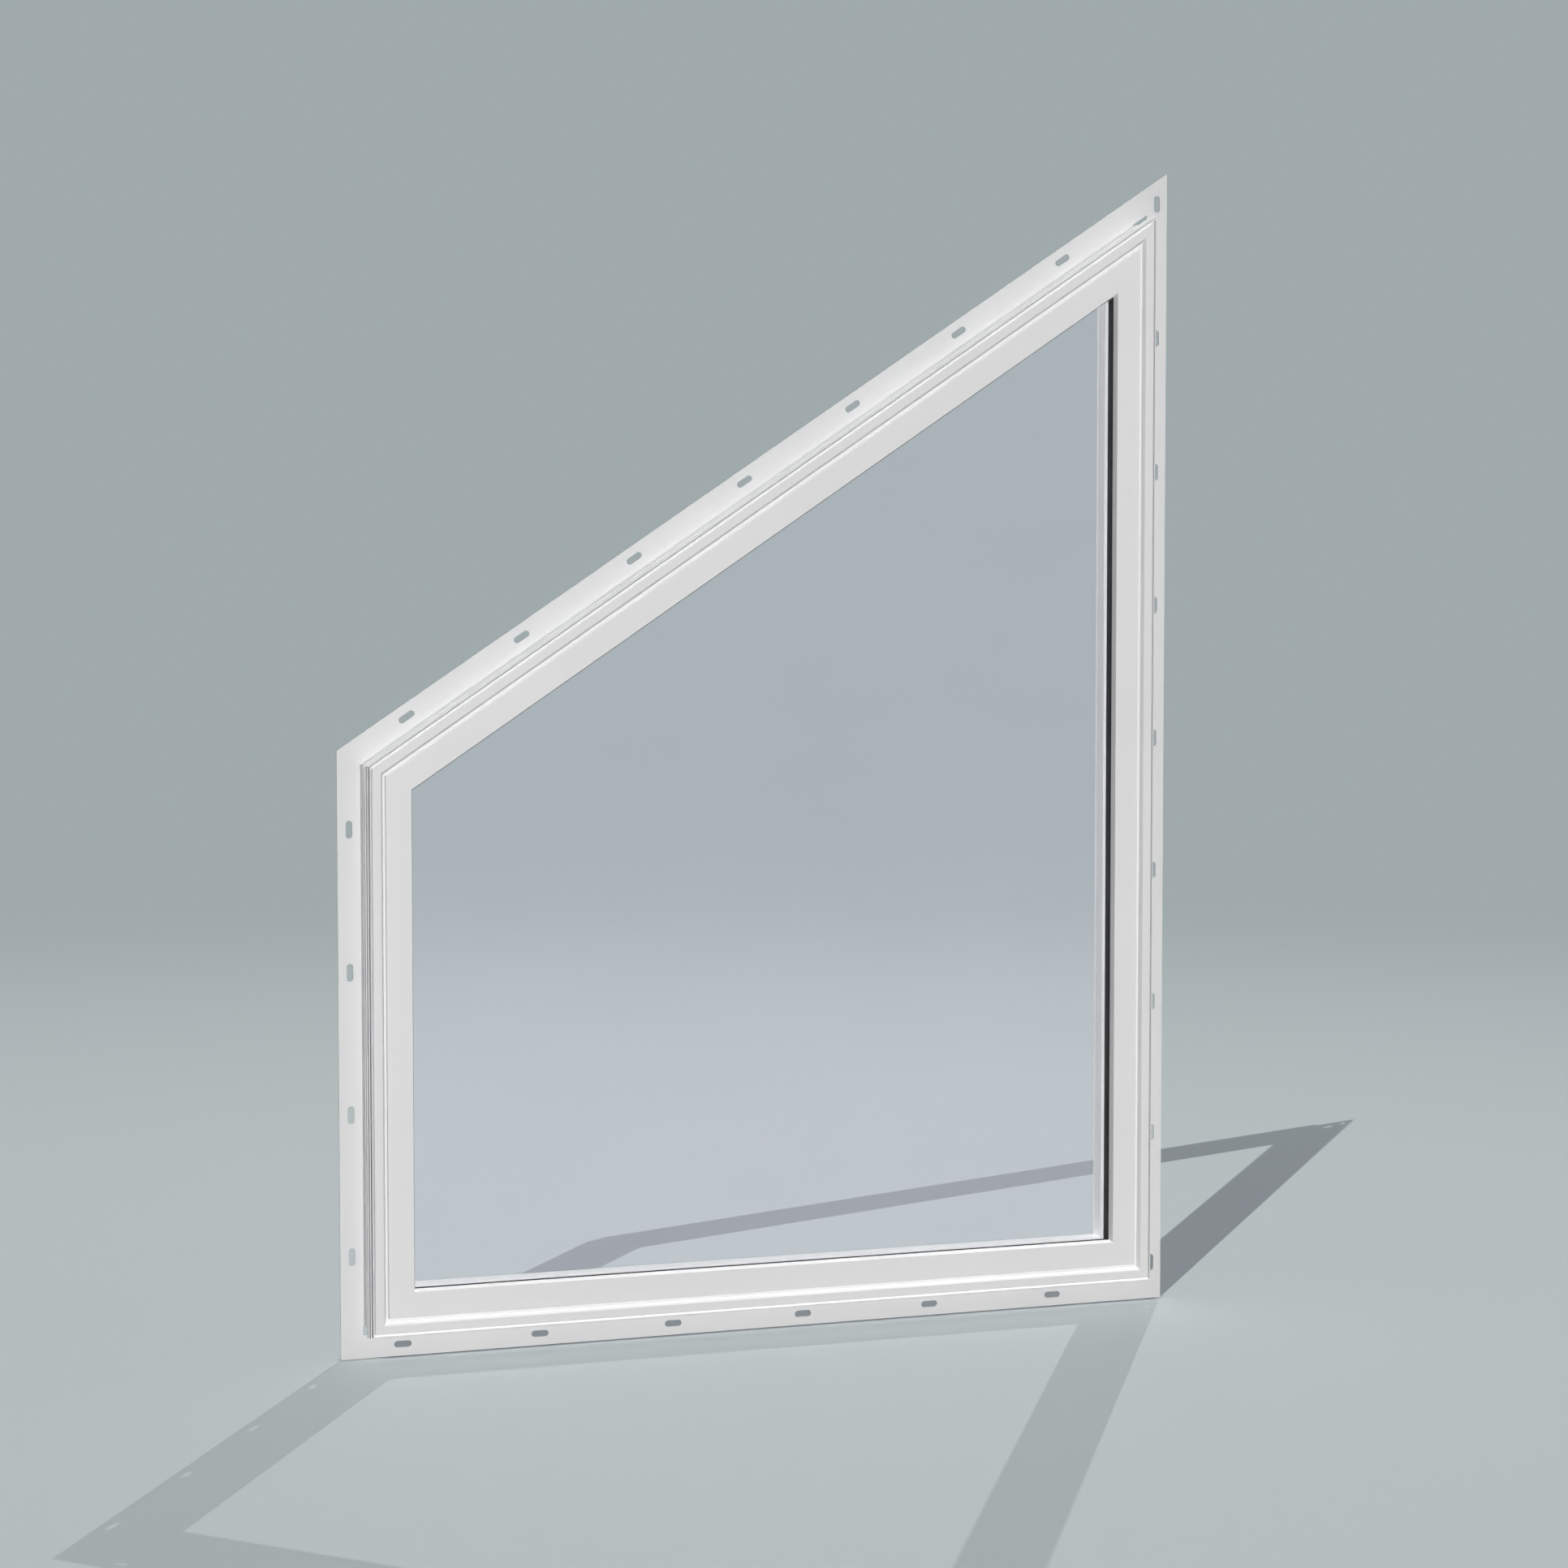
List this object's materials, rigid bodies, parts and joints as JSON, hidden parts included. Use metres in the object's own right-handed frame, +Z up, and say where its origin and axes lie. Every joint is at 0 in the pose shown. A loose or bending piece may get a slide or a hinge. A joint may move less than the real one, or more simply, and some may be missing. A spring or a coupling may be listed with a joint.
{
  "type": "trapezoid window",
  "caption": "Fixed trapezoid window with a sloping head, white vinyl frame and sash, insulated glass with a dark spacer, and a slotted nail fin that fastens it to a wall opening.",
  "frame": {"origin": "on the back face of the nail fin, at mid-width of the sill, level with the frame's outer wall", "axes": "+X right and +Z up as seen from outside, +Y into the building, so the outside faces -Y"},
  "size_m": [0.9668, 0.0667, 1.2958],
  "materials": {
    "white_vinyl": "smooth white extruded vinyl, satin",
    "fin_vinyl": "smooth white extruded vinyl, satin, punched slots",
    "black_spacer": "matt black foam spacer",
    "black_seal": "matt black glazing tape",
    "block_rubber": "dark grey setting block",
    "clear_glass": "clear float glass, polished"
  },
  "bodies": {
    "root": {"frame_sill": "white_vinyl", "frame_left_jamb": "white_vinyl", "frame_right_jamb": "white_vinyl", "frame_head": "white_vinyl", "nail_fin_sill": "fin_vinyl", "nail_fin_left": "fin_vinyl", "nail_fin_right": "fin_vinyl", "nail_fin_head": "fin_vinyl", "sash_bottom_rail": "white_vinyl", "sash_left_stile": "white_vinyl", "sash_right_stile": "white_vinyl", "sash_top_rail": "white_vinyl", "glazing_bead_bottom": "white_vinyl", "spacer_bottom": "black_spacer", "exterior_seal_bottom": "black_seal", "interior_seal_bottom": "black_seal", "glazing_bead_left": "white_vinyl", "spacer_left": "black_spacer", "exterior_seal_left": "black_seal", "interior_seal_left": "black_seal", "glazing_bead_right": "white_vinyl", "spacer_right": "black_spacer", "exterior_seal_right": "black_seal", "interior_seal_right": "black_seal", "glazing_bead_top": "white_vinyl", "spacer_top": "black_spacer", "exterior_seal_top": "black_seal", "interior_seal_top": "black_seal", "exterior_pane": "clear_glass", "interior_pane": "clear_glass", "setting_block_left": "block_rubber", "setting_block_right": "block_rubber"}
  },
  "joints": []
}
